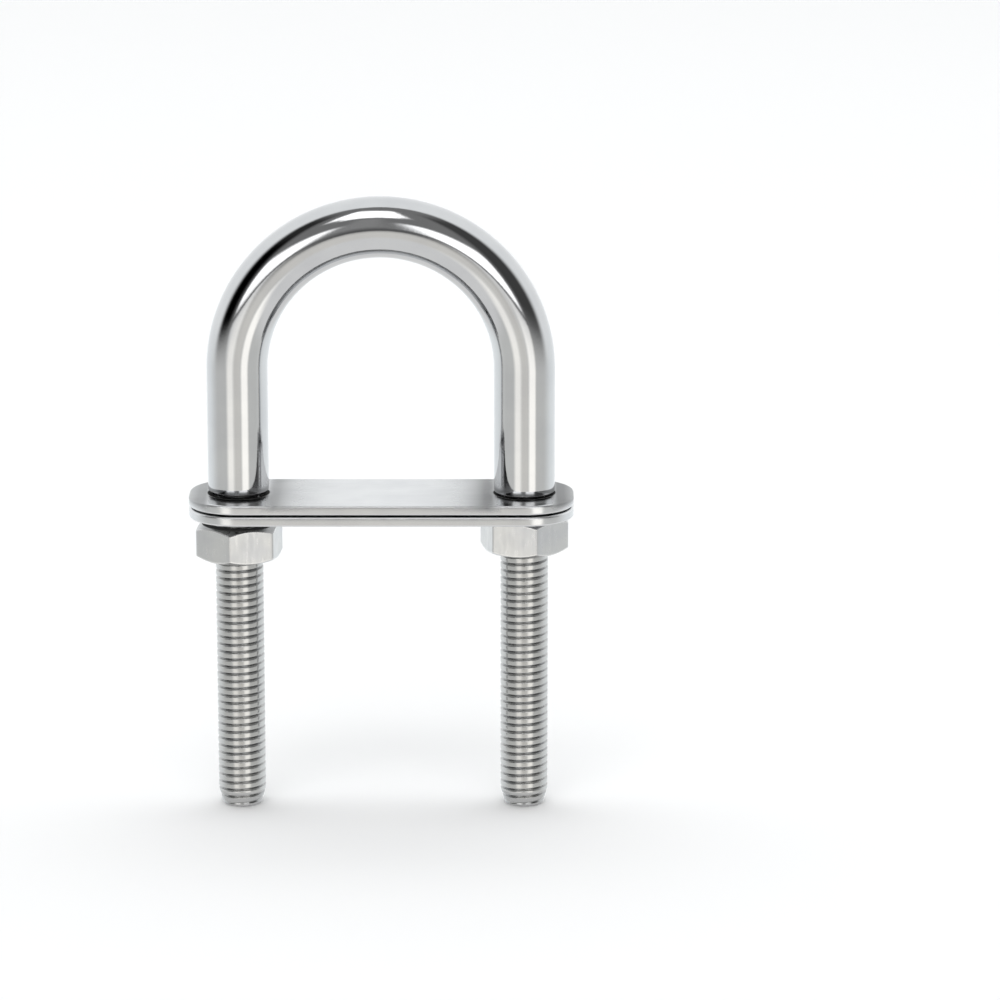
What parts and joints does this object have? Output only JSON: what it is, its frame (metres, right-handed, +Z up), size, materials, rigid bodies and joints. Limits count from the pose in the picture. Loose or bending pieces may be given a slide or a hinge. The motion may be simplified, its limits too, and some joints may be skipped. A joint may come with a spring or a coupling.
{
  "type": "pad eye",
  "caption": "U-bolt pad eye: a polished bent bar with two threaded legs, a deck plate, a matching backing plate and plain hexagon nuts, for bolting through a deck.",
  "frame": {"origin": "midway between the two legs, on the underside of the deck plate, the face that lies on the deck", "axes": "+X from the left leg to the right leg, +Z up through the bow, away from the deck"},
  "size_m": [0.0632, 0.019, 0.1024],
  "materials": {
    "polished_steel": "mirror-polished stainless bar; the rolled threads below the shoulders are satin",
    "plate_steel": "polished stainless sheet with tumbled, satin edges",
    "nut_steel": "satin stainless, lightly tumbled"
  },
  "bodies": {
    "u_bolt": {"u_bolt": "polished_steel", "deck_plate": "plate_steel"},
    "backing_plate": {"backing_plate": "plate_steel"},
    "left_nut": {"left_nut": "nut_steel"},
    "right_nut": {"right_nut": "nut_steel"}
  },
  "joints": [
    {"name": "backing_plate_slide", "type": "slide", "parent": "u_bolt", "child": "backing_plate", "axis": [0, 0, -1], "range_m": [0, 0.03875]},
    {"name": "right_nut_turn", "type": "hinge", "parent": "backing_plate", "child": "right_nut", "pos_m": [0.0235, 0, -0.0051], "axis": [0, 0, -1], "range_deg": [0, 11160]},
    {"name": "left_nut_turn", "type": "hinge", "parent": "backing_plate", "child": "left_nut", "pos_m": [-0.0235, 0, -0.00635], "axis": [0, 0, -1], "range_deg": [0, 11160]}
  ],
  "couplings": [
    {"joint": "right_nut_turn", "follows": "backing_plate_slide", "rad_per_m": 5026.5},
    {"joint": "left_nut_turn", "follows": "backing_plate_slide", "rad_per_m": 5026.5}
  ]
}
